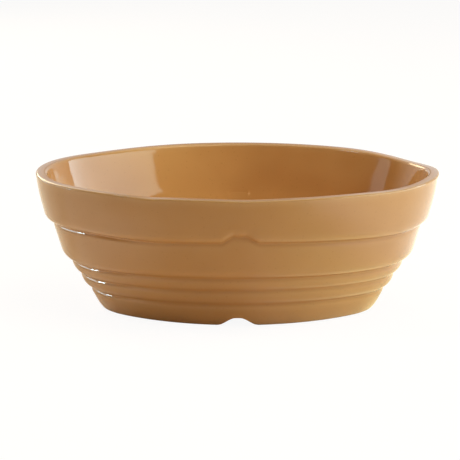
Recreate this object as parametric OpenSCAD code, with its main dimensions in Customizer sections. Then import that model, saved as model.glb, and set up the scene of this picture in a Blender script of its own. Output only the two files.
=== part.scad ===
// Oval pie dish of glazed stoneware, with a stepped outside and a smooth inside.
// It is moulded in one piece of clay. Coats of glaze are fired on to it inside, outside and under
// the floor, and the ring that it stands on stays bare.
// Sizes are in millimetres. +Z is up, X runs along the length, and the origin is the middle of the
// standing plane. Overall sizes are taken over the glaze.

/* [Outline] */
// Overall length
dish_length = 280; // [250:1:320]
// Overall width
dish_width = 210; // [190:1:235]
// Overall height
dish_height = 96; // [86:1:115]
// Radius of the outline round its two ends
end_radius = 85; // [74:1:92]

/* [Rim] */
// Width of the rim from its outer to its inner side
rim_width = 7.5; // [6.5:0.1:10]
// Radius of the rim's outer edge
rim_outer_radius = 2.4; // [1.5:0.1:3]
// Radius of the rim's inner edge
rim_inner_radius = 2; // [1:0.1:2.8]

/* [Outside tiers] */
// Height of the top band, rim included
band_height = 33; // [27:0.5:38]
// Height of the upper rib
upper_rib_height = 10; // [8:0.5:13]
// Height of the lower rib
lower_rib_height = 10.5; // [8:0.5:13]
// Height of the foot
foot_height = 16.5; // [13:0.5:20]
// Lean of the band's wall from upright
band_lean = 12; // [6:0.5:16]
// Lean of the belt's wall, between the band and the ribs
belt_lean = 18.5; // [14:0.5:22]
// Lean of the ribs' walls
rib_lean = 20.5; // [15:0.5:26]
// Lean of the foot's wall
foot_lean = 26; // [20:0.5:30]
// Radius of the band's lower edge
band_edge_radius = 7; // [4:0.5:9]
// Radius of the belt's lower edge
belt_edge_radius = 13; // [8:0.5:16]
// Radius of the ribs' lower edges
rib_edge_radius = 12; // [7:0.5:14]
// Radius of the foot's lower edge
foot_edge_radius = 16; // [10:0.5:19]
// Lean at which the band's lower edge runs into the groove below it
band_ledge_lean = 72; // [60:1:78]
// Lean at which the other lower edges run in
ledge_lean = 59; // [50:1:68]
// Radius of the grooves under the tiers
groove_radius = 1; // [0.7:0.1:2]

/* [Scoops in the band's lower edge, front and back] */
// Width of a scoop
scoop_width = 27; // [18:1:40]
// Rise of a scoop above the groove
scoop_height = 6; // [4:0.5:9]

/* [Inside] */
// Thickness of the clay wall behind the grooves, measured level
wall_thickness = 6.5; // [5:0.1:9]
// Radius of the inner wall's bends
inner_bend_radius = 80; // [40:5:90]
// Radius between the inner wall and the floor
floor_fillet_radius = 24; // [12:1:28]
// Thickness of the clay floor
floor_thickness = 6.5; // [5:0.1:9]

/* [Foot ring] */
// Width of the ring that the dish stands on
ring_width = 7; // [5:0.5:10]
// Radius of the ring's two edges
ring_edge_radius = 1.4; // [0.8:0.1:2]
// Depth of the recess under the floor
recess_depth = 5; // [4.5:0.1:7]
// Lean of the recess's wall
recess_lean = 20; // [10:1:30]
// Radius round the top of the recess
recess_fillet_radius = 3; // [1.5:0.1:4]
// Width of the drain notches in the ring, front and back
notch_width = 27; // [18:1:40]
// Height of the notches
notch_height = 4.3; // [3:0.1:4.4]

/* [Glaze] */
// Thickness of the fired coats
glaze_thickness = 0.4; // [0.3:0.05:0.6]
// Height of the bare clay above the standing plane
bare_height = 1; // [0.6:0.1:2]

/* [Hidden] */
$fn = 240;

clay_colour = "#d9c4a0";
inside_colour = "#b9783c";
outside_colour = "#b98a55";

// Sizes that the four stretches of the oval share are kept to whole thousandths.
function thousandths(value) = round(1000 * value) / 1000;

// Four-centre oval: the ends turn about (+-end_centre, 0), the long sides about (0, +-side_centre).
half_length = dish_length / 2;
half_width = dish_width / 2;
end_centre = half_length - end_radius;
side_rise = half_width - end_radius;
side_centre = thousandths((end_centre * end_centre / side_rise - side_rise) / 2);
side_radius = half_width + side_centre;
// A point well past the outline on the line where an end meets a long side.
seam = [end_centre * (1 + dish_width / side_centre), dish_width];
// Overlap of the ends with the long sides, which makes the stretches one solid.
seam_overlap = 0.00001;

// An inset this deep always reaches the middle of the dish.
middle = dish_length;
// How far cutting shapes run past what they cut.
overrun = 6;
// Turn of the profile per step round a bend, in degrees.
bend_step = 9;
// Straight stretch of a ledge between its edge and its groove.
ledge_flat = 0.2;

clay_top = dish_height - glaze_thickness;
floor_top = recess_depth + floor_thickness;
crest = rim_width / 2;

// Profiles are lists of corners [inset from the outline, height, radius]. Between corners a profile
// has a lean: 0 is straight down, 90 is level towards the middle and -90 is level outwards.
function lean(from, to) = atan2(to[0] - from[0], from[1] - to[1]);
function reversed(list) = [for (i = [len(list) - 1:-1:0]) list[i]];
function setback(radius, turn) = radius * tan(abs(turn) / 2);
function flipped(point) = [point[0], -point[1]];

// Points [inset, height, lean] round the bend at a corner.
function bend(before, corner, after) =
    let (
        from = lean(before, corner),
        turn = lean(corner, after) - from,
        back = setback(corner[2], turn),
        start = [corner[0] - back * sin(from), corner[1] + back * cos(from)],
        out = sign(turn) * corner[2],
        steps = ceil(abs(turn) / bend_step)
    )
    [for (i = [0:steps])
        let (now = from + turn * i / steps)
        [start[0] + out * (cos(from) - cos(now)), start[1] - out * (sin(now) - sin(from)), now]];

// A profile through its corners, each rounded to its radius.
function rounded(corners) =
    let (last = len(corners) - 1)
    concat(
        [[corners[0][0], corners[0][1], lean(corners[0], corners[1])]],
        [for (i = [1:last - 1]) each bend(corners[i - 1], corners[i], corners[i + 1])],
        [[corners[last][0], corners[last][1], lean(corners[last - 1], corners[last])]]
    );

// A profile moved along its normals: outwards by a positive distance, inwards by a negative one.
function moved(profile, by) = [for (p = profile) [p[0] - by * cos(p[2]), p[1] - by * sin(p[2])]];

// Outside tiers from the top down: [wall lean, edge radius, ledge lean, height of the lower end].
rib_groove = foot_height + lower_rib_height;
tiers = [
    [band_lean, band_edge_radius, band_ledge_lean, dish_height - band_height],
    [belt_lean, belt_edge_radius, ledge_lean, rib_groove + upper_rib_height],
    [rib_lean, rib_edge_radius, ledge_lean, rib_groove],
    [rib_lean, rib_edge_radius, ledge_lean, foot_height],
    [foot_lean, foot_edge_radius, ledge_lean, 0],
];
last_tier = len(tiers) - 1;

// The lower edge and the groove of each tier from number i down, where top is the wall's upper end.
function tier_corners(top, i = 0) =
    let (
        tier = tiers[i],
        is_foot = i == last_tier,
        next_lean = is_foot ? 90 : tiers[i + 1][0],
        end_r = is_foot ? ring_edge_radius : groove_radius,
        ledge = setback(tier[1], tier[2] - tier[0]) + ledge_flat + setback(end_r, tier[2] - next_lean),
        edge_z = tier[3] + ledge * cos(tier[2]),
        edge = [top[0] + (top[1] - edge_z) * tan(tier[0]), edge_z, tier[1]],
        groove = [edge[0] + ledge * sin(tier[2]), tier[3], end_r]
    )
    is_foot ? [edge, groove] : concat([edge, groove], tier_corners(groove, i + 1));

// The rim's outer corner lies where its edge bulges out to the clay's own outline.
rim_corner = [
    glaze_thickness + rim_outer_radius - rim_outer_radius * (1 + sin(band_lean)) / cos(band_lean),
    clay_top,
    rim_outer_radius
];
tier_list = tier_corners(rim_corner);
band_groove = tier_list[1];
belt_groove = tier_list[3];
upper_rib_groove = tier_list[5];
toe = tier_list[2 * last_tier + 1];

// The outside runs from the rim's crest to the toe and on along the standing ring to the recess.
ring_inner = toe[0] + ring_width;
recess_run = tan(recess_lean);
recess_corner = [ring_inner + recess_depth * recess_run, recess_depth, recess_fillet_radius];
side_corners = concat([[crest, clay_top], rim_corner], tier_list);
outside = rounded(concat(
    side_corners,
    [[ring_inner, 0, ring_edge_radius], recess_corner, [middle, recess_depth]]
));
side = rounded(concat(side_corners, [[ring_inner, 0]]));
recess = rounded([
    [ring_inner + bare_height * recess_run, bare_height],
    recess_corner,
    [middle, recess_depth]
]);

// The inner wall keeps the wall's thickness behind the grooves and runs on to the floor.
behind_band = [band_groove[0] + wall_thickness, band_groove[1], inner_bend_radius];
behind_belt = [belt_groove[0] + wall_thickness, belt_groove[1], inner_bend_radius];
behind_rib = [upper_rib_groove[0] + wall_thickness, upper_rib_groove[1]];
low_run = tan(lean(behind_belt, behind_rib));
inside = rounded([
    [crest, clay_top],
    [rim_width - glaze_thickness, clay_top, rim_inner_radius],
    behind_band,
    behind_belt,
    [behind_belt[0] + (behind_belt[1] - floor_top) * low_run, floor_top, floor_fillet_radius],
    [middle, floor_top]
]);

// A profile turned about an axis, where radius is the outline's radius there.
module turned(profile, radius) {
    rotate_extrude()
        polygon([for (p = profile) [max(radius - thousandths(p[0]), 0), thousandths(p[1])]]);
}

// Tall prism that keeps one stretch of the oval.
module stretch(points) {
    translate([0, 0, -dish_height])
        linear_extrude(4 * dish_height)
            polygon(points);
}

// A profile swept round the oval: two ends, and two long sides that meet in the middle plane.
module swept(profile) {
    centre = [end_centre, 0];
    back = [seam_overlap, 0];
    past_end = seam + [dish_length, 0];
    for (turn = [0, 180])
        rotate([0, 0, turn]) {
            intersection() {
                translate([end_centre, 0, 0])
                    turned(profile, end_radius);
                stretch([centre - back, flipped(seam) - back, flipped(past_end), past_end, seam - back]);
            }
            intersection() {
                translate([0, -side_centre, 0])
                    turned(profile, side_radius);
                stretch([centre, seam, -flipped(seam), -centre]);
            }
        }
}

// The dish filled solid, with its clay's outside moved out by a coat.
module filled(coat) {
    difference() {
        swept(concat(moved(side, coat), [[middle, -coat], [middle, clay_top + coat]]));
        scoops(coat);
    }
}

// Bell-shaped outline that flares out to its width, with its flared ends a little below zero.
module bell(width, height, below) {
    dip = height / 40;
    steps = 20;
    polygon(concat(
        [[width / 2, -below], [-width / 2, -below]],
        [for (i = [0:steps])
            let (u = 2 * i / steps - 1)
            [u * width / 2, (height + dip) * (1 + cos(180 * u)) / 2 - dip]]
    ));
}

// Air of the two scoops: a bell under the band's edge, down to the belt's wall carried on upwards.
module scoops(coat) {
    low = band_groove[1] - 2 * overrun;
    high = band_groove[1] + scoop_height + 2 * overrun;
    belt_run = tan(belt_lean);
    wall_inset = band_groove[0] - coat - groove_radius / 2;
    for (turn = [0, 180])
        rotate([0, 0, turn])
            difference() {
                translate([0, band_groove[0] - half_width, band_groove[1] - coat])
                    rotate([band_ledge_lean, 0, 0])
                        translate([0, 0, -overrun])
                            linear_extrude(4 * overrun)
                                bell(scoop_width, scoop_height, overrun / 2);
                translate([0, side_centre, 0])
                    turned(
                        [
                            [middle, low],
                            [wall_inset + (band_groove[1] - low) * belt_run, low],
                            [wall_inset - (high - band_groove[1]) * belt_run, high],
                            [middle, high]
                        ],
                        side_radius
                    );
            }
}

// Air of the two drain notches through the standing ring.
module notches() {
    for (turn = [0, 180])
        rotate([0, 0, turn])
            translate([0, recess_corner[0] + recess_fillet_radius - half_width, 0])
                rotate([90, 0, 0])
                    linear_extrude(recess_corner[0] + recess_fillet_radius - toe[0] + overrun)
                        bell(notch_width, notch_height, overrun);
}

// The moulded and fired clay, with its rim, stepped wall, floor and foot ring.
module clay_body() {
    color(clay_colour)
        difference() {
            swept(concat(moved(outside, 0), reversed(moved(inside, 0))));
            scoops(0);
            notches();
        }
}

// The coat poured inside, from the crest of the rim down over the floor.
module inside_glaze() {
    color(inside_colour)
        swept(concat(moved(inside, -glaze_thickness), reversed(moved(inside, 0))));
}

// The coat over the outside, from the crest of the rim down to the bare ring.
module outside_glaze() {
    color(outside_colour)
        difference() {
            filled(glaze_thickness);
            filled(0);
            swept([[crest, dish_height - 2 * glaze_thickness], [crest, 2 * dish_height],
                [middle, 2 * dish_height], [middle, dish_height - 2 * glaze_thickness]]);
            translate([-dish_length, -dish_width, bare_height - dish_height])
                cube([2 * dish_length, 2 * dish_width, dish_height]);
            notches();
        }
}

// The coat under the floor, inside the standing ring.
module underside_glaze() {
    color(outside_colour)
        difference() {
            swept(concat(moved(recess, glaze_thickness), reversed(moved(recess, 0))));
            notches();
        }
}

clay_body();
inside_glaze();
outside_glaze();
underside_glaze();
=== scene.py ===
"""Deep oval pie dish of amber-glazed stoneware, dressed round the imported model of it.

The clay and its three coats of glaze are spun from one section round the dish's four-centre oval.
Section sizes are in millimetres. Everything in the scene is in metres.
"""

import math

import bpy
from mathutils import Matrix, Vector, noise
from mathutils.kdtree import KDTree


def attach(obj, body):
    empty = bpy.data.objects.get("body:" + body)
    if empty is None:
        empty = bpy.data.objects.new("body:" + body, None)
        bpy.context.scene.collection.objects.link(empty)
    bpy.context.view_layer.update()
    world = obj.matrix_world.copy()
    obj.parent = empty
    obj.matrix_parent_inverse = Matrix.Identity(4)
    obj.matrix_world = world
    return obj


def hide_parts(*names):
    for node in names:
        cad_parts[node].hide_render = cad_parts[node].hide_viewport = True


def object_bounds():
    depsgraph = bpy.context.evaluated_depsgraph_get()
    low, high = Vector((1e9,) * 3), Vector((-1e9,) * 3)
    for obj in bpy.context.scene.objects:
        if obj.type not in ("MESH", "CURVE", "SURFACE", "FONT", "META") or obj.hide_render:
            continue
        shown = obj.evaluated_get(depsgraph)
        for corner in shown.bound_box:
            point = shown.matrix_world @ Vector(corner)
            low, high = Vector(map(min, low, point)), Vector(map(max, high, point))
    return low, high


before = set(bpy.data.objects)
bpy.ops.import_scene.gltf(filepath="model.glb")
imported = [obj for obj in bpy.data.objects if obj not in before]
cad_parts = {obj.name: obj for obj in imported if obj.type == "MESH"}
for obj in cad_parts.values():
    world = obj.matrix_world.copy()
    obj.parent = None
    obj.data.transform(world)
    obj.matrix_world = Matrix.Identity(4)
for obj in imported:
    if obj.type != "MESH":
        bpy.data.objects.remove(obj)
cad_low, cad_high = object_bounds()

MM = 0.001

# Overall sizes, from the frame, and the radius of the oval's ends
LENGTH = round((cad_high.x - cad_low.x) / MM, 1)
WIDTH = round((cad_high.y - cad_low.y) / MM, 1)
HEIGHT = round((cad_high.z - cad_low.z) / MM, 1)
END_RADIUS = 85

# Rim and inside
RIM_WIDTH = 7.5
RIM_OUTER_RADIUS = 0.8
RIM_INNER_RADIUS = 2
WALL_THICKNESS = 4.1
INNER_BEND_RADIUS = 80
FLOOR_FILLET_RADIUS = 24
FLOOR_THICKNESS = 5.2

# Outside tiers from the top down: lean of the wall, radius of the lower edge, lean of the ledge
# under it, and height of the groove that it ends in
BAND = {"wall": 12, "radius": 6, "ledge": 74, "groove": HEIGHT - 32.2}
BELT = {"wall": 18, "radius": 9, "ledge": 69, "groove": 38.1}
UPPER_RIB = {"wall": 22, "radius": 8.5, "ledge": 62, "groove": 28}
LOWER_RIB = {"wall": 23, "radius": 9.5, "ledge": 63, "groove": 16.8}
FOOT = {"wall": 26.5, "radius": 28, "ledge": 40, "groove": 0}
TIERS = [BAND, BELT, UPPER_RIB, LOWER_RIB, FOOT]
LEDGE_FLAT = 1.6
FOOT_FLAT = 0.2
# Bulge of the band: its wall leans less in its upper half
BAND_TOP_LEAN = 8.7
BAND_BULGE_DROP = 14
BAND_BULGE_RADIUS = 100
GROOVE_RADIUS = 1.4
# Lip under each groove, where the next tier swells out to its wall
LIP_HEIGHT = 2.6
LIP_LEAN = -20
LIP_RADIUS = 3.2

# Foot ring and recess under the floor
RING_WIDTH = 7
RING_EDGE_RADIUS = 1.4
RECESS_DEPTH = 6.8
RECESS_LEAN = 20
RECESS_FILLET_RADIUS = 3

# Bell-shaped scoops in the band's lower edge and notches through the foot ring, front and back. A
# crest is the flat share of the width, the margin is how far the finer mesh goes past a scoop, the
# edge height is how far above its corner the band's edge moves whole, and a reach is how far from
# there the clay still follows.
SCOOP_WIDTH = 27
SCOOP_HEIGHT = 4.8
SCOOP_CENTRE = 1.3
SCOOP_CREST = 0.25
SCOOP_MARGIN = 3
SCOOP_EDGE_HEIGHT = 1.5
SCOOP_REACH_UP = 20
SCOOP_REACH_DOWN = 16
NOTCH_WIDTH = 28
NOTCH_HEIGHT = 6
NOTCH_CREST = 0.1
NOTCH_REACH_UP = 12
NOTCH_REACH_IN = 12

# Coats of glaze: thickness, height of the bare line on the foot, and how far glaze runs in a hollow, which
# is also how far the painted shade in a hollow spreads
COAT = 0.4
BARE_HEIGHT = 1
GLAZE_FLOW = 2.2

# Steps of the meshes: round a bend, along a straight stretch, and round a quarter of the oval
BEND_STEP = math.radians(8)
STRAIGHT_STEP = 3
END_STEPS = 34
SIDE_STEPS = 34
SCOOP_STEPS = 18
# Rings that close a flat middle, and the inset that it starts at
FLOOR_RINGS = 8
FLOOR_EDGE = 62
# Gaps that are merged, how far off its ring a point may lie, and the angle of a sharp edge
MERGE_GAP = 0.002
MIRROR_GAP = 0.004
HEIGHT_SLACK = 0.01
INSET_SLACK = 0.05
SHARP_ANGLE = math.radians(40)

# Dips of the rim from the firing, as (x, y, reach, drop), and the height that they fade out at
RIM_DIPS = [
    (128, 48, 34, 3.0),
    (104, -62, 26, 1.0),
    (-100, 66, 40, 0.9),
    (-112, -30, 14, 0.9),
    (-61, -95, 13, 0.9),
    (6, -105, 16, 0.5),
]
RIM_DIP_FOOT = 60
# Rises and falls of the band's lower edge, as (x, y, reach, rise)
EDGE_SWAYS = [(3, -96, 50, 1.6), (100, -50, 35, -1.5), (-100, -52, 34, 1.3)]
# Sag of the tiers towards both ends: its greatest depth, the height that it reaches up to, and where
# along the length it is full
SAG_DEPTH = 2.2
SAG_TOP = 72
SAG_END = 110
# Softness of the tiers, crisp at the left end: reach along the section, where along the length it
# starts and is full, and the heights that it sets in and dies out over
SOFT_REACH = 2.2
SOFT_START = -95
SOFT_FULL = -45
SOFT_SETS_IN = (4, 9)
SOFT_DIES_OUT = (76, 86)
# Waves of the wall: height, length, rate upright as a share of the level one, the heights that they
# set in over, and how far before the flat middle they die out
WAVE_HEIGHT = 0.12
WAVE_LENGTH = 45
WAVE_RATE_UP = 0.6
WAVE_SETS_IN = (2, 20)
WAVE_FLOOR_REACH = 12

# Four-centre oval: the ends turn about (+-END_CENTRE, 0), the long sides about (0, +-SIDE_CENTRE)
END_CENTRE = LENGTH / 2 - END_RADIUS
SIDE_RISE = WIDTH / 2 - END_RADIUS
SIDE_CENTRE = (END_CENTRE ** 2 / SIDE_RISE - SIDE_RISE) / 2
SIDE_RADIUS = WIDTH / 2 + SIDE_CENTRE
END_TURN = math.atan2(SIDE_CENTRE, END_CENTRE)
SCOOP_TURN = (SCOOP_WIDTH / 2 + SCOOP_MARGIN) / SIDE_RADIUS
SIDE_TURN = math.pi / 2 - END_TURN - SCOOP_TURN

CLAY_TOP = HEIGHT - COAT
CREST = RIM_WIDTH / 2
FLOOR_TOP = RECESS_DEPTH + FLOOR_THICKNESS
# Height below which a point can't be inside the dish
OUTSIDE_BELOW = FLOOR_TOP - 1


# Section of the dish

def lean(start, end):
    """Lean of a stretch of section: 0 is straight down, a quarter turn is level towards the middle."""
    return math.atan2(end[0] - start[0], start[1] - end[1])


def setback(radius, turn):
    """How far before a corner a bend of this radius starts."""
    return radius * math.tan(abs(turn) / 2)


def bend(before, corner, after):
    """Points round one rounded corner of a section."""
    inset, height, radius = corner
    start_lean = lean(before, corner)
    turn = lean(corner, after) - start_lean
    back = setback(radius, turn)
    start = (inset - back * math.sin(start_lean), height + back * math.cos(start_lean))
    out = math.copysign(radius, turn)
    steps = max(2, math.ceil(abs(turn) / BEND_STEP))
    points = []
    for step in range(steps + 1):
        now = start_lean + turn * step / steps
        points.append((
            start[0] + out * (math.cos(start_lean) - math.cos(now)),
            start[1] - out * (math.sin(now) - math.sin(start_lean)),
        ))
    return points


def rounded(corners):
    """A section through its corners (inset, height, radius), with points along its long stretches."""
    points = [corners[0][:2]]
    for before, corner, after in zip(corners, corners[1:], corners[2:]):
        points += bend(before, corner, after)
    points.append(corners[-1][:2])
    spaced = [points[0]]
    for start, end in zip(points, points[1:]):
        gap = math.dist(start, end)
        parts = math.ceil(gap / STRAIGHT_STEP)
        for part in range(1, parts + 1):
            share = part / parts
            spaced.append((
                start[0] + (end[0] - start[0]) * share,
                start[1] + (end[1] - start[1]) * share,
            ))
    return spaced


def tier_corners(top):
    """Lower edge, groove and next lip of each tier, from the rim's outer corner down to the toe."""
    lip_lean = math.radians(LIP_LEAN)
    corners = []
    for tier in TIERS:
        is_foot = tier is FOOT
        wall = math.radians(tier["wall"])
        ledge = math.radians(tier["ledge"])
        end_lean = math.pi / 2 if is_foot else lip_lean
        end_radius = RING_EDGE_RADIUS if is_foot else GROOVE_RADIUS
        flat = FOOT_FLAT if is_foot else LEDGE_FLAT
        run = setback(tier["radius"], ledge - wall) + flat + setback(end_radius, ledge - end_lean)
        edge_height = tier["groove"] + run * math.cos(ledge)
        edge_inset = top[0] + (top[1] - edge_height) * math.tan(wall)
        groove = (edge_inset + run * math.sin(ledge), tier["groove"], end_radius)
        corners += [(edge_inset, edge_height, tier["radius"]), groove]
        if not is_foot:
            top = (groove[0] + LIP_HEIGHT * math.tan(lip_lean), groove[1] - LIP_HEIGHT, LIP_RADIUS)
            corners.append(top)
    return corners


band_top = math.radians(BAND_TOP_LEAN)
rim_bulge = RIM_OUTER_RADIUS * (1 + math.sin(band_top)) / math.cos(band_top)
rim_corner = (COAT + RIM_OUTER_RADIUS - rim_bulge, CLAY_TOP, RIM_OUTER_RADIUS)
band_bulge = (
    rim_corner[0] + BAND_BULGE_DROP * math.tan(band_top),
    CLAY_TOP - BAND_BULGE_DROP,
    BAND_BULGE_RADIUS,
)
tier_list = tier_corners(rim_corner)
edges, grooves, lips = tier_list[0::3], tier_list[1::3], tier_list[2::3]
band_edge, foot_edge = edges[0], edges[-1]
band_groove, belt_groove, upper_rib_groove = grooves[:3]
toe = grooves[-1]

ring_inner = (toe[0] + RING_WIDTH, 0, RING_EDGE_RADIUS)
recess_run = math.tan(math.radians(RECESS_LEAN))
recess_corner = (ring_inner[0] + RECESS_DEPTH * recess_run, RECESS_DEPTH, RECESS_FILLET_RADIUS)
recess_edge = (FLOOR_EDGE, RECESS_DEPTH)
recess_line = (ring_inner[0] + BARE_HEIGHT * recess_run, BARE_HEIGHT)

behind_band = (band_groove[0] + WALL_THICKNESS, band_groove[1], INNER_BEND_RADIUS)
behind_belt = (belt_groove[0] + WALL_THICKNESS, belt_groove[1], INNER_BEND_RADIUS)
behind_rib = (upper_rib_groove[0] + WALL_THICKNESS, upper_rib_groove[1])
low_run = math.tan(lean(behind_belt, behind_rib))
floor_corner = (
    behind_belt[0] + (behind_belt[1] - FLOOR_TOP) * low_run,
    FLOOR_TOP,
    FLOOR_FILLET_RADIUS,
)
floor_edge = (FLOOR_EDGE, FLOOR_TOP)
crest = (CREST, CLAY_TOP)

outside_corners = [crest, rim_corner, band_bulge] + tier_list
outer_section = rounded(outside_corners + [ring_inner, recess_corner, recess_edge])
inner_section = rounded([
    crest,
    (RIM_WIDTH - COAT, CLAY_TOP, RIM_INNER_RADIUS),
    behind_band,
    behind_belt,
    floor_corner,
    floor_edge,
])
recess_section = rounded([recess_line, recess_corner, recess_edge])


def above_bare_line(section):
    """The part of the outer section that the outside coat covers, cut off level above the ring."""
    kept = []
    for before, after in zip(section, section[1:]):
        kept.append(before)
        if after[1] < BARE_HEIGHT:
            share = (before[1] - BARE_HEIGHT) / (before[1] - after[1])
            kept.append((before[0] + (after[0] - before[0]) * share, BARE_HEIGHT))
            return kept
    return kept


outside_section = above_bare_line(outer_section)
clay_section = outer_section[::-1] + inner_section[1:]


def lengths_along(section):
    """Length of a section up to each of its points."""
    along = [0]
    for before, after in zip(section, section[1:]):
        along.append(along[-1] + math.dist(before, after))
    return along


def softening(section):
    """Shift (inset, height) of each point of a section to the mean of the section round it."""
    along = lengths_along(section)
    last = len(along) - 1
    gaps = [along[min(i + 1, last)] - along[max(i - 1, 0)] for i in range(len(along))]
    shifts = []
    for point, place in zip(section, along):
        shares = [
            gap * math.exp(-((other - place) / SOFT_REACH) ** 2)
            for gap, other in zip(gaps, along)
        ]
        shifts.append([
            sum(share * other[axis] for share, other in zip(shares, section)) / sum(shares) - point[axis]
            for axis in range(2)
        ])
    return shifts


def section_tree(section):
    """Finds the nearest point of a section to a place (inset, height, 0)."""
    tree = KDTree(len(section))
    for i, (inset, height) in enumerate(section):
        tree.insert((inset, height, 0), i)
    tree.balance()
    return tree


soft_shifts = softening(outer_section)
outer_tree = section_tree(outer_section)


# Places on the oval

def inset_at(x, y):
    """How far inside the dish's outline a point (in millimetres) is, level."""
    x, y = abs(x), abs(y)
    if y * END_CENTRE < (x - END_CENTRE) * SIDE_CENTRE:
        return END_RADIUS - math.hypot(x - END_CENTRE, y)
    return SIDE_RADIUS - math.hypot(x, y + SIDE_CENTRE)


def outward_at(x, y):
    """Level direction straight out of the dish at a point."""
    across = math.copysign(1, y)
    if abs(y) * END_CENTRE < (abs(x) - END_CENTRE) * SIDE_CENTRE:
        return Vector((x - math.copysign(END_CENTRE, x), y)).normalized()
    return Vector((x, y + across * SIDE_CENTRE)).normalized()


def smooth(value, low, high):
    """Eased rise from 0 at low to 1 at high."""
    share = min(1, max(0, (value - low) / (high - low)))
    return share * share * (3 - 2 * share)


def bell(x, width, crest):
    """Bell curve that is 0 at half its width, and 1 over this share of its width in the middle."""
    return smooth(1 - abs(2 * x / width), 0, 1 - crest)


# Shaping of the spun clay, by place alone, so that a coat follows the clay under it

foot_wall = rounded([lips[-1], foot_edge, toe[:2]])[::-1]
inner_wall = [floor_corner, behind_belt, behind_band, (RIM_WIDTH, CLAY_TOP)]


def inset_on(wall, height):
    """Inset at a height of a wall, given as its points from the bottom up."""
    for low, high in zip(wall, wall[1:]):
        if height <= high[1]:
            share = (height - low[1]) / (high[1] - low[1])
            return low[0] + (high[0] - low[0]) * share
    return wall[-1][0]


def is_outside(inset, height):
    """Whether a point lies outside the middle of the wall, or below the floor."""
    return height < OUTSIDE_BELOW or inset < inset_on(inner_wall, height) - WALL_THICKNESS / 2


def notched(x, inset, height):
    """Rise and inward shift that open the drain notch in the foot ring."""
    depth = NOTCH_HEIGHT * bell(x, NOTCH_WIDTH, NOTCH_CREST)
    if depth == 0 or height > NOTCH_REACH_UP or inset < foot_edge[0] - NOTCH_REACH_UP:
        return 0, 0
    if inset > ring_inner[0]:
        rise = depth * max(0, 1 - height / RECESS_DEPTH)
        return rise, rise * recess_run
    rise = depth * (1 - height / NOTCH_REACH_UP)
    shift = inset_on(foot_wall, height + rise) - inset_on(foot_wall, height)
    across_ring = min(1, max(0, (inset - toe[0]) / RING_WIDTH))
    return rise, shift * (1 - across_ring)


def scooped(x, y, inset, height):
    """Rise and inward shift that lift the band's lower edge into the scoop and let it sway."""
    groove = band_groove[1]
    if inset > behind_band[0] - WALL_THICKNESS / 2 + (groove - height):
        return 0, 0
    edge_top = band_edge[1] + SCOOP_EDGE_HEIGHT
    if height > groove:
        hold = 1 - smooth(height, edge_top, edge_top + SCOOP_REACH_UP)
        under = smooth(inset, band_edge[0], band_groove[0])
    else:
        hold = smooth(height, groove - SCOOP_REACH_DOWN, groove)
        under = 1
    if hold == 0:
        return 0, 0
    wall = BAND["wall"] + (BELT["wall"] - BAND["wall"]) * under
    scoop = SCOOP_HEIGHT * bell(x - SCOOP_CENTRE, SCOOP_WIDTH, SCOOP_CREST)
    rise = hold * (scoop + hills(EDGE_SWAYS, x, y))
    return rise, -rise * math.tan(math.radians(wall))


def hills(places, x, y):
    """Height at a point of soft hills, each given as (x, y, reach, height)."""
    total = 0
    for hill_x, hill_y, reach, height in places:
        away = math.hypot(x - hill_x, y - hill_y) / reach
        total += height * math.exp(-away * away)
    return total


def fired(co):
    """Where a point of the ideal dish lies on the moulded and fired one."""
    x, y, height = co / MM
    inset = inset_at(x, y)
    outward = outward_at(x, y)
    rise, shift = 0, 0
    if inset < ring_inner[0] + NOTCH_REACH_IN:
        notch_rise, notch_shift = notched(x, inset, height)
        scoop_rise, scoop_shift = scooped(x, y, inset, height)
        rise, shift = notch_rise + scoop_rise, notch_shift + scoop_shift
    raised = height + rise
    rise -= hills(RIM_DIPS, x, y) * smooth(raised, RIM_DIP_FOOT, HEIGHT)
    if is_outside(inset, height):
        half_way = math.sin(math.pi * min(1, max(0, raised / SAG_TOP)))
        rise -= SAG_DEPTH * half_way * smooth(abs(x), 0, SAG_END)
        if inset < toe[0]:
            soft = smooth(x, SOFT_START, SOFT_FULL) * smooth(height, *SOFT_SETS_IN)
            soft *= 1 - smooth(height, *SOFT_DIES_OUT)
            inward, upward = soft_shifts[outer_tree.find((inset, height, 0))[1]]
            shift += soft * inward
            rise += soft * upward
    wave = noise.noise(Vector((x, y, WAVE_RATE_UP * raised)) / WAVE_LENGTH)
    swell = WAVE_HEIGHT * (1 + wave) * smooth(raised, *WAVE_SETS_IN)
    shift += swell * smooth(FLOOR_EDGE - inset, 0, WAVE_FLOOR_REACH)
    return Vector((x - outward.x * shift, y - outward.y * shift, height + rise)) * MM


# Pieces

def start_piece(name):
    """A new mesh object at the origin, as one selected vertex in edit mode."""
    bpy.ops.object.select_all(action="DESELECT")
    bpy.ops.mesh.primitive_plane_add(size=0.01)
    piece = bpy.context.object
    piece.name = name
    piece.data.name = name
    bpy.ops.object.mode_set(mode="EDIT")
    bpy.ops.mesh.select_mode(type="VERT")
    bpy.ops.mesh.merge(type="CENTER")
    return piece


def draw_section(section):
    """Extrudes the vertex along a section at the dish's +X end."""
    places = [Vector((LENGTH / 2 - inset, 0, height)) * MM for inset, height in section]
    bpy.ops.transform.translate(value=places[0])
    for before, after in zip(places, places[1:]):
        bpy.ops.mesh.extrude_region_move(TRANSFORM_OT_translate={"value": after - before})


def spin_quarter():
    """Spins the section round a quarter of the oval: an end, a long side and half of a scoop."""
    end = (END_CENTRE * MM, 0, 0)
    side = (0, -SIDE_CENTRE * MM, 0)
    bpy.ops.mesh.select_all(action="SELECT")
    for centre, steps, turn in [
        (end, END_STEPS, END_TURN),
        (side, SIDE_STEPS, SIDE_TURN),
        (side, SCOOP_STEPS, SCOOP_TURN),
    ]:
        bpy.ops.mesh.spin(steps=steps, angle=-turn, center=centre, axis=(0, 0, 1))


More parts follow.
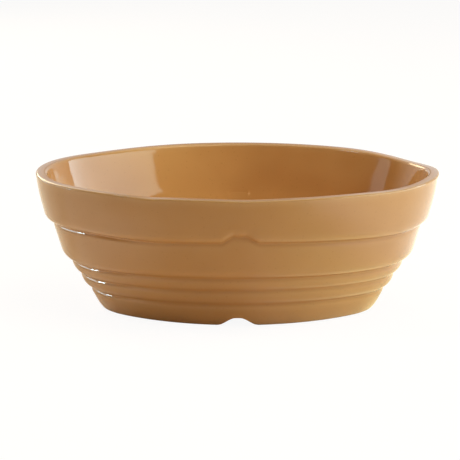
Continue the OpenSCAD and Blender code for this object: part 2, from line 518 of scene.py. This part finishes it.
def apply_modifier(piece, kind, **settings):
    """Adds a modifier with these settings and applies it."""
    modifier = piece.modifiers.new(kind.title(), kind)
    for setting, value in settings.items():
        setattr(modifier, setting, value)
    bpy.ops.object.modifier_apply(modifier=modifier.name)


def close_middle(piece, height):
    """Closes the flat middle at a height with rings that shrink to the centre."""
    bpy.ops.object.mode_set(mode="EDIT")
    bpy.ops.mesh.select_all(action="DESELECT")
    bpy.ops.object.mode_set(mode="OBJECT")
    for vertex in piece.data.vertices:
        x, y, z = vertex.co / MM
        off_ring = abs(inset_at(x, y) - FLOOR_EDGE)
        vertex.select = abs(z - height) < HEIGHT_SLACK and off_ring < INSET_SLACK
    bpy.ops.object.mode_set(mode="EDIT")
    for ring in range(FLOOR_RINGS, 1, -1):
        shrink = (ring - 1) / ring
        bpy.ops.mesh.extrude_region_move()
        bpy.ops.transform.resize(value=(shrink, shrink, 1), center_override=(0, 0, height * MM))
    bpy.ops.mesh.extrude_region_move()
    bpy.ops.mesh.merge(type="CENTER")
    bpy.ops.object.mode_set(mode="OBJECT")


def face_the_air(piece, opens_up):
    """Merges doubles and turns the faces to the air, by whether they look up or down on the whole."""
    bpy.ops.object.mode_set(mode="EDIT")
    bpy.ops.mesh.select_all(action="SELECT")
    bpy.ops.mesh.remove_doubles(threshold=MERGE_GAP * MM)
    bpy.ops.mesh.normals_make_consistent(inside=False)
    bpy.ops.object.mode_set(mode="OBJECT")
    if opens_up is None:
        return
    looks_up = sum(face.normal.z * face.area for face in piece.data.polygons) > 0
    if looks_up != opens_up:
        piece.data.flip_normals()


def pooling_and_shade(section, hollow):
    """How deep glaze lies along a section: above 0 in its hollows, where it also sets painted shade, and
    below 0 over its edges.
    """
    along = lengths_along(section)
    turns = [0] * len(section)
    for i in range(1, len(section) - 1):
        turns[i] = lean(section[i], section[i + 1]) - lean(section[i - 1], section[i])
    depths = []
    for place in along:
        depth = sum(
            hollow * turn * math.exp(-((place - other) / GLAZE_FLOW) ** 2)
            for turn, other in zip(turns, along)
        )
        depths.append(math.tanh(depth))
    return depths


def mark_pooling_and_shade(piece, section, hollow):
    """Keeps the depth of glaze on each point of a coat, for its material, which darkens the hollows by it
    with pooled glaze and painted shade.
    """
    tree = section_tree(section)
    depths = pooling_and_shade(section, hollow)
    attribute = piece.data.attributes.new("glaze_depth_and_shade", "FLOAT", "POINT")
    for vertex in piece.data.vertices:
        x, y, height = vertex.co / MM
        nearest = tree.find((min(FLOOR_EDGE, inset_at(x, y)), height, 0))[1]
        attribute.data[vertex.index].value = depths[nearest]


def spun_piece(name, section, middles, opens_up=None, hollow=None):
    """A piece spun from a section, closed over its middles, and shaped as the fired clay is.

    A coat says which way it opens and which way its section turns in a hollow, and gets its thickness.
    """
    piece = start_piece(name)
    draw_section(section)
    spin_quarter()
    bpy.ops.object.mode_set(mode="OBJECT")
    both_ways = (True, True, False)
    apply_modifier(piece, "MIRROR", use_axis=both_ways, merge_threshold=MIRROR_GAP * MM)
    for height in middles:
        close_middle(piece, height)
    face_the_air(piece, opens_up)
    if hollow:
        mark_pooling_and_shade(piece, section, hollow)
    for vertex in piece.data.vertices:
        vertex.co = fired(vertex.co)
    if hollow:
        apply_modifier(piece, "SOLIDIFY", thickness=COAT * MM, offset=1)
    bpy.ops.object.select_all(action="DESELECT")
    piece.select_set(True)
    bpy.context.view_layer.objects.active = piece
    bpy.ops.object.shade_smooth_by_angle(angle=SHARP_ANGLE)
    return piece


clay_body = spun_piece("clay", clay_section, [RECESS_DEPTH, FLOOR_TOP])
inside_coat = spun_piece("glaze_inside", inner_section, [FLOOR_TOP], opens_up=True, hollow=1)
outside_coat = spun_piece("glaze_outside", outside_section, [], opens_up=False, hollow=-1)
underside_coat = spun_piece("glaze_underside", recess_section, [RECESS_DEPTH], opens_up=False, hollow=-1)


# Materials

# Colours of the glaze where it is thin on an edge, over the wall and pooled in a hollow, the share of its
# dark drifts, and which of the noise's drifts they are. The pooled colour is partly painted shade in the
# grooves and the inside corner.
THIN_GLAZE = (0.64, 0.39, 0.17, 1)
INSIDE_GLAZE = {
    "Thin": THIN_GLAZE,
    # Painted lighter than the outside's body, though both coats are one glaze: painted light
    "Body": (0.665, 0.335, 0.11, 1),
    "Pooled_And_Shaded": (0.60, 0.29, 0.094, 1),
    "Drift": 0.8,
    "Place": 8,
}
OUTSIDE_GLAZE = {
    "Thin": THIN_GLAZE,
    # Painted darker than the inside's body, though both coats are one glaze: painted shade
    "Body": (0.53, 0.263, 0.092, 1),
    "Pooled_And_Shaded": (0.41, 0.185, 0.058, 1),
    "Drift": 0.3,
    "Place": 9,
}
# Greatest shares of the pooled colour, which is partly painted shade, in a hollow, and of the thin colour
# on an edge
POOLED_AND_SHADED_SHARE = 0.45
THINNED_SHARE = 0.35
SPECK_COLOUR = (0.35, 0.22, 0.14, 1)
DRIFT_COLOUR = (0.72, 0.60, 0.50, 1)
GLAZE_IOR = 1.5
STAINED_CLAY = (0.40, 0.27, 0.15, 1)
BUFF_CLAY = (0.62, 0.48, 0.31, 1)
# Middle range of a noise, which reaches its ends only here and there
NOISE_SPAN = (0.3, 0.7)


def set_inputs(node, inputs):
    """Sets a node's inputs by name or number, each to a value or by a link from an output."""
    for name, value in inputs.items():
        if isinstance(value, bpy.types.NodeSocket):
            node.id_data.links.new(value, node.inputs[name])
        else:
            node.inputs[name].default_value = value


def add_node(tree, kind, place, inputs=None, **settings):
    """A shader node at a place on the sheet, with its settings and then its inputs."""
    node = tree.nodes.new(kind)
    node.location = place
    for setting, value in settings.items():
        setattr(node, setting, value)
    set_inputs(node, inputs or {})
    return node


def ranged(tree, place, value, span, to=(0, 1)):
    """Output that goes from one end of a range to the other while a value crosses its span."""
    node = add_node(tree, "ShaderNodeMapRange", place, {
        "Value": value,
        "From Min": span[0],
        "From Max": span[1],
        "To Min": to[0],
        "To Max": to[1],
    })
    return node.outputs["Result"]


def ramped(tree, place, value, stops):
    """Grey level along a value, through its stops (position, level)."""
    node = add_node(tree, "ShaderNodeValToRGB", place, {"Fac": value})
    elements = node.color_ramp.elements
    for element, (position, level) in zip(elements, (stops[0], stops[-1])):
        element.position = position
        element.color = (level, level, level, 1)
    for position, level in stops[1:-1]:
        elements.new(position).color = (level, level, level, 1)
    return node.outputs["Color"]


def combined(tree, place, operation, first, second):
    """Result of an operation on two values."""
    node = add_node(tree, "ShaderNodeMath", place, {0: first, 1: second}, operation=operation)
    return node.outputs["Value"]


def blended(tree, place, share, first, second, blend="MIX"):
    """Colour between two colours, by a share."""
    colours = {"Factor": share, "A": first, "B": second}
    node = add_node(tree, "ShaderNodeMix", place, colours, data_type="RGBA", blend_type=blend)
    return node.outputs["Result"]


def make_mottle_group():
    """Shared look of the glaze: clouds, specks and drifts of tone, and the fine swell of its surface."""
    group = bpy.data.node_groups.new("glaze_mottle", "ShaderNodeTree")
    for name, kind in [
        ("Vector", "NodeSocketVector"),
        ("Depth", "NodeSocketFloat"),
        ("Thin", "NodeSocketColor"),
        ("Body", "NodeSocketColor"),
        ("Pooled_And_Shaded", "NodeSocketColor"),
        ("Drift", "NodeSocketFloat"),
        ("Place", "NodeSocketFloat"),
    ]:
        group.interface.new_socket(name=name, in_out="INPUT", socket_type=kind)
    for name, kind in [
        ("Colour", "NodeSocketColor"),
        ("Roughness", "NodeSocketFloat"),
        ("Swell", "NodeSocketFloat"),
    ]:
        group.interface.new_socket(name=name, in_out="OUTPUT", socket_type=kind)
    given = add_node(group, "NodeGroupInput", (-1000, 0)).outputs

    clouds = add_node(group, "ShaderNodeTexNoise", (-780, 200), {
        "Vector": given["Vector"],
        "Scale": 34,
        "Detail": 4,
        "Roughness": 0.55,
    }).outputs["Fac"]
    cloud_depth = ranged(group, (-580, 200), clouds, NOISE_SPAN, to=(-0.12, 0.12))
    depth = combined(group, (-380, 100), "ADD", given["Depth"], cloud_depth)
    # Pooled colour in the hollows: partly pooled glaze, partly painted shade in the grooves and the inside
    # corner
    pooled_and_shaded = ranged(group, (-180, 200), depth, (0, 1), to=(0, POOLED_AND_SHADED_SHARE))
    thinned = ranged(group, (-180, -60), depth, (0, -1), to=(0, THINNED_SHARE))
    deeper = blended(group, (40, 160), pooled_and_shaded, given["Body"], given["Pooled_And_Shaded"])
    toned = blended(group, (240, 120), thinned, deeper, given["Thin"])

    grains = add_node(group, "ShaderNodeTexVoronoi", (-180, -320), {
        "Vector": given["Vector"],
        "Scale": 260,
    })
    specks = ranged(group, (40, -320), grains.outputs["Distance"], (0.10, 0.18), to=(0.10, 0))
    speckled = blended(group, (460, 80), specks, toned, SPECK_COLOUR, "MULTIPLY")

    drift = add_node(group, "ShaderNodeTexNoise", (240, 420), {
        "Vector": given["Vector"],
        "W": given["Place"],
        "Scale": 13,
        "Detail": 2,
        "Roughness": 0.4,
    }, noise_dimensions="4D")
    drift_range = ranged(group, (460, 420), drift.outputs["Fac"], (0.35, 0.65))
    drift_share = combined(group, (640, 420), "MULTIPLY", drift_range, given["Drift"])
    drifted = blended(group, (680, 200), drift_share, speckled, DRIFT_COLOUR, "MULTIPLY")

    dullness = ranged(group, (460, -160), clouds, NOISE_SPAN, to=(0.05, 0.09))
    swell = add_node(group, "ShaderNodeTexNoise", (460, -420), {
        "Vector": given["Vector"],
        "Scale": 110,
        "Detail": 2,
    })
    add_node(group, "NodeGroupOutput", (900, 0), {
        "Colour": drifted,
        "Roughness": dullness,
        "Swell": swell.outputs["Fac"],
    })
    return group


def new_material(name):
    """A new material with its shader."""
    material = bpy.data.materials.new(name)
    material.use_nodes = True
    return material, material.node_tree.nodes["Principled BSDF"]


def make_glaze(name, mottle, glaze):
    """Glossy fired glaze over the clay: the shared look with one coat's colours and drifts."""
    material, shader = new_material(name)
    tree = material.node_tree
    place = add_node(tree, "ShaderNodeTexCoord", (-900, 0))
    depth = add_node(tree, "ShaderNodeAttribute", (-900, -260), attribute_name="glaze_depth_and_shade")
    look = add_node(tree, "ShaderNodeGroup", (-600, 0), {
        "Vector": place.outputs["Object"],
        "Depth": depth.outputs["Fac"],
        **glaze,
    }, node_tree=mottle)
    bump = add_node(tree, "ShaderNodeBump", (-300, -200), {
        "Strength": 0.06,
        "Distance": 0.001,
        "Height": look.outputs["Swell"],
    })
    set_inputs(shader, {
        "IOR": GLAZE_IOR,
        "Base Color": look.outputs["Colour"],
        "Roughness": look.outputs["Roughness"],
        "Normal": bump.outputs["Normal"],
    })
    return material


def make_bare_clay():
    """Matte buff clay of the standing ring, with sandy grain and a little kiln staining."""
    material, shader = new_material("bare_clay")
    tree = material.node_tree
    place = add_node(tree, "ShaderNodeTexCoord", (-900, 0)).outputs["Object"]
    sand = add_node(tree, "ShaderNodeTexNoise", (-680, -160), {"Vector": place, "Scale": 900, "Detail": 3})
    stain = add_node(tree, "ShaderNodeTexNoise", (-680, 160), {"Vector": place, "Scale": 60, "Detail": 4})
    colour = add_node(tree, "ShaderNodeValToRGB", (-440, 160), {"Fac": stain.outputs["Fac"]})
    stained, buff = colour.color_ramp.elements
    stained.position, stained.color = 0.35, STAINED_CLAY
    buff.position, buff.color = 0.62, BUFF_CLAY
    bump = add_node(tree, "ShaderNodeBump", (-240, -260), {
        "Strength": 0.35,
        "Distance": 0.0004,
        "Height": sand.outputs["Fac"],
    })
    set_inputs(shader, {
        "Specular IOR Level": 0.3,
        "Base Color": colour.outputs["Color"],
        "Roughness": ranged(tree, (-440, -120), sand.outputs["Fac"], (0, 1), to=(0.75, 0.95)),
        "Normal": bump.outputs["Normal"],
    })
    return material


mottle = make_mottle_group()
inside_glaze = make_glaze("inside_glaze", mottle, INSIDE_GLAZE)
outside_glaze = make_glaze("outside_glaze", mottle, OUTSIDE_GLAZE)
bare_clay = make_bare_clay()

for piece, node, slot, material in [
    (clay_body, "clay_body", "bare_clay", bare_clay),
    (inside_coat, "inside_glaze", "inside_glaze", inside_glaze),
    (outside_coat, "outside_glaze", "outside_glaze", outside_glaze),
    (underside_coat, "underside_glaze", "outside_glaze", outside_glaze),
]:
    piece.data.materials.clear()
    piece.data.materials.append(material)
    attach(piece, "root")
    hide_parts(node)


# Floor, world, lamps and camera

# Floor, just clear of the foot ring. To the camera it is white but for a share that takes the shadow.
FLOOR_COLOUR = (0.95, 0.80, 0.64, 1)
FLOOR_SIZE = 8
FLOOR_DROP = 0.0002
FLOOR_WHITE_SHARE = 0.88
FLOOR_WHITE_STRENGTH = 1.05
# Bright parts of the floor in reflections: their strength and two tints, and levels at stops from one end
# to the other of a span, along the dish, in front of it, and for the golden tint along it
FLOOR_GLOW_STRENGTH = 2
FLOOR_GLOW_PALE = (1, 0.97, 0.85, 1)
FLOOR_GLOW_GOLD = (1, 0.94, 0.5, 1)
ALONG_SPAN = (-0.3, 0.3)
ALONG_STOPS = [(0.1, 0.25), (0.35, 0), (0.6, 0), (0.85, 1)]
GOLD_STOPS = [(0.5, 0), (0.58, 1), (0.68, 1), (0.8, 0)]
FRONT_SPAN = (-0.3, 0.1)
FRONT_STOPS = [(0.2, 0), (0.47, 1), (0.68, 1), (0.83, 0)]
# The front part rises to its level at the left and the right over these spans
FRONT_SIDES = [((-0.07, -0.16), 0.5), ((0, 0.1), 0.85)]

# Dim room that lights the dish from all round
ROOM_COLOUR = (1, 0.68, 0.50, 1)
ROOM_STRENGTH = 0.1
# White backdrop in reflections: how far behind the dish it starts and is full, and its levels at the
# middle and to the sides
BACKDROP_BEHIND = (0.1, 0.5)
BACKDROP_SIDES = (0.02, 0.09)
BACKDROP_LEVELS = (0.3, 0.9)

# Colours of the lamps
KEY_COLOUR = (0.88, 1.17, 1.28)
KEY_FRONT_COLOUR = (0.68, 0.78, 0.68)
FILL_COLOUR = (1, 0.83, 0.56)
SKY_COLOUR = (0.9, 1, 0.85)
BACK_COLOUR = (1, 0.85, 0.55)

# Camera: lens in millimetres, elevation in degrees, and how far it is from the spot that it aims at
CAMERA_LENS = 189.0
CAMERA_ELEVATION = 12.63
CAMERA_AWAY = 1.6861
CAMERA_AIM = (-0.0053, 0, 0.05319)


def in_reflection(tree, rays, place):
    """1 for rays that a glossy or clear surface sends on, and 0 for others."""
    glossy = rays.outputs["Is Glossy Ray"]
    clear = rays.outputs["Is Transmission Ray"]
    return combined(tree, place, "MAXIMUM", glossy, clear)


def floor_glow(tree, spot):
    """How bright the floor is in reflections at a spot, and its tint there."""
    along = ranged(tree, (-1100, -160), spot["X"], ALONG_SPAN)
    bright = ramped(tree, (-900, -160), along, ALONG_STOPS)
    deep = ranged(tree, (-1100, -480), spot["Y"], FRONT_SPAN)
    front = ramped(tree, (-900, -480), deep, FRONT_STOPS)
    for i, (span, level) in enumerate(FRONT_SIDES):
        down = -480 - 260 * i
        side = ranged(tree, (-1100, down - 260), spot["X"], span, to=(0, level))
        before_dish = combined(tree, (-620, down), "MULTIPLY", front, side)
        bright = combined(tree, (-440, down), "MAXIMUM", bright, before_dish)
    golden = ramped(tree, (-620, -1000), along, GOLD_STOPS)
    return bright, blended(tree, (-440, -1000), golden, FLOOR_GLOW_PALE, FLOOR_GLOW_GOLD)


def make_floor():
    """Pale floor, white to the camera round a faint shadow, and bright in parts in reflections."""
    bpy.ops.object.select_all(action="DESELECT")
    bpy.ops.mesh.primitive_plane_add(size=FLOOR_SIZE, location=(0, 0, -FLOOR_DROP))
    floor = bpy.context.object
    floor.name = "floor"
    material, shader = new_material("pale_floor")
    tree = material.node_tree
    tree.nodes.remove(shader)
    rays = add_node(tree, "ShaderNodeLightPath", (-1100, 200))
    reflected = in_reflection(tree, rays, (-880, 60))
    place = add_node(tree, "ShaderNodeTexCoord", (-1500, -160))
    spot = add_node(tree, "ShaderNodeSeparateXYZ", (-1300, -160), {"Vector": place.outputs["Object"]})
    bright, tint = floor_glow(tree, spot.outputs)
    seen = combined(tree, (-500, 260), "MULTIPLY", rays.outputs["Is Camera Ray"], FLOOR_WHITE_SHARE)
    mirrored = combined(tree, (-500, 60), "MULTIPLY", reflected, bright)
    strengths = (FLOOR_WHITE_STRENGTH, FLOOR_GLOW_STRENGTH)
    white = add_node(tree, "ShaderNodeEmission", (-300, -220), {
        "Color": blended(tree, (-500, -620), reflected, (1, 1, 1, 1), tint),
        "Strength": ranged(tree, (-500, -400), reflected, (0, 1), to=strengths),
    })
    paper = add_node(tree, "ShaderNodeBsdfDiffuse", (-300, -60), {"Color": FLOOR_COLOUR})
    mix = add_node(tree, "ShaderNodeMixShader", (0, 0), {
        "Fac": combined(tree, (-280, 200), "ADD", seen, mirrored),
        1: paper.outputs["BSDF"],
        2: white.outputs["Emission"],
    })
    set_inputs(tree.nodes["Material Output"], {"Surface": mix.outputs["Shader"]})
    floor.data.materials.append(material)


def make_world():
    """White to the camera and behind the dish in reflections, and a dim warm room to everything else."""
    world = bpy.data.worlds.new("studio")
    world.use_nodes = True
    bpy.context.scene.world = world
    tree = world.node_tree
    room = tree.nodes["Background"]
    set_inputs(room, {"Color": ROOM_COLOUR, "Strength": ROOM_STRENGTH})
    white = add_node(tree, "ShaderNodeBackground", (-300, -220), {"Color": (1, 1, 1, 1)})
    rays = add_node(tree, "ShaderNodeLightPath", (-1100, 200))
    place = add_node(tree, "ShaderNodeTexCoord", (-1100, -160))
    way = add_node(tree, "ShaderNodeSeparateXYZ", (-900, -160), {"Vector": place.outputs["Generated"]})
    behind = ranged(tree, (-700, -160), way.outputs["Y"], BACKDROP_BEHIND)
    aside = add_node(tree, "ShaderNodeMath", (-900, -400), {0: way.outputs["X"]}, operation="ABSOLUTE")
    sides = ranged(tree, (-700, -420), aside.outputs["Value"], BACKDROP_SIDES, to=BACKDROP_LEVELS)
    backdrop = combined(tree, (-500, -160), "MULTIPLY", behind, sides)
    mirrored = combined(tree, (-500, 60), "MULTIPLY", in_reflection(tree, rays, (-880, 60)), backdrop)
    mix = add_node(tree, "ShaderNodeMixShader", (0, 0), {
        "Fac": combined(tree, (-280, 200), "ADD", rays.outputs["Is Camera Ray"], mirrored),
        1: room.outputs["Background"],
        2: white.outputs["Background"],
    })
    set_inputs(tree.nodes["World Output"], {"Surface": mix.outputs["Shader"]})


def make_lamp(name, azimuth, elevation, away, size, radiance, colour, far_colour=None):
    """A soft box that faces the dish, with its colour changing from one side to the other.

    Azimuth 0 is behind the dish and 90 to its right. The far side is the one to the front on a lamp at
    the right, and to the back on a lamp at the left.
    """
    data = bpy.data.lights.new(name, "AREA")
    data.shape = "RECTANGLE"
    data.size, data.size_y = size
    data.energy = radiance * math.pi * size[0] * size[1]
    data.use_nodes = True
    tree = data.node_tree
    spot = add_node(tree, "ShaderNodeNewGeometry", (-700, 0))
    across = add_node(tree, "ShaderNodeSeparateXYZ", (-500, 0), {"Vector": spot.outputs["Parametric"]})
    far = (*(far_colour or colour), 1)
    level = blended(tree, (-300, 0), across.outputs["X"], far, (*colour, 1))
    set_inputs(tree.nodes["Emission"], {"Color": level})
    lamp = bpy.data.objects.new(name, data)
    bpy.context.scene.collection.objects.link(lamp)
    turn, lift = math.radians(azimuth), math.radians(elevation)
    direction = Vector((
        math.sin(turn) * math.cos(lift),
        math.cos(turn) * math.cos(lift),
        math.sin(lift),
    ))
    aim = Vector((0, 0, HEIGHT / 2 * MM))
    lamp.location = aim + direction * away
    lamp.rotation_euler = direction.to_track_quat("Z", "Y").to_euler()


def make_camera():
    """Camera at the photograph's place: a long lens a little above the rim."""
    data = bpy.data.cameras.new("camera")
    data.lens = CAMERA_LENS
    data.sensor_width = 36
    camera = bpy.data.objects.new("camera", data)
    bpy.context.scene.collection.objects.link(camera)
    elevation = math.radians(CAMERA_ELEVATION)
    back = Vector((0, -math.cos(elevation), math.sin(elevation)))
    camera.location = Vector(CAMERA_AIM) + back * CAMERA_AWAY
    camera.rotation_euler = back.to_track_quat("Z", "Y").to_euler()
    bpy.context.scene.camera = camera


make_floor()
make_world()
# Each lamp's azimuth and elevation, how far away it is, its width and height, radiance and colours
make_lamp("right_soft_box", 98.5, 19.5, 1.3, (1.74, 0.84), 4.5, KEY_COLOUR, KEY_FRONT_COLOUR)
make_lamp("front_high_box", 140, 66, 1.5, (0.8, 0.7), 3.4, FILL_COLOUR)
make_lamp("left_soft_box", -99, 16, 1.5, (0.36, 0.5), 1, KEY_COLOUR)
make_lamp("left_low_panel", -66, 3.5, 1.5, (1.1, 0.17), 5, KEY_COLOUR)
make_lamp("left_high_box", -100, 45, 1.5, (0.8, 0.8), 0.4, FILL_COLOUR)
make_lamp("top_soft_box", 10, 80, 1.4, (0.9, 0.9), 1.2, SKY_COLOUR)
make_lamp("left_lamp", -89, 9, 1.5, (0.34, 0.1), 30, KEY_COLOUR)
make_lamp("left_spot", -104, 55, 1.5, (0.14, 0.12), 35, KEY_COLOUR)
make_lamp("back_left_lamp", -28, 24, 1.5, (0.8, 0.6), 6, BACK_COLOUR)

make_camera()
bpy.context.scene.view_settings.view_transform = "Standard"
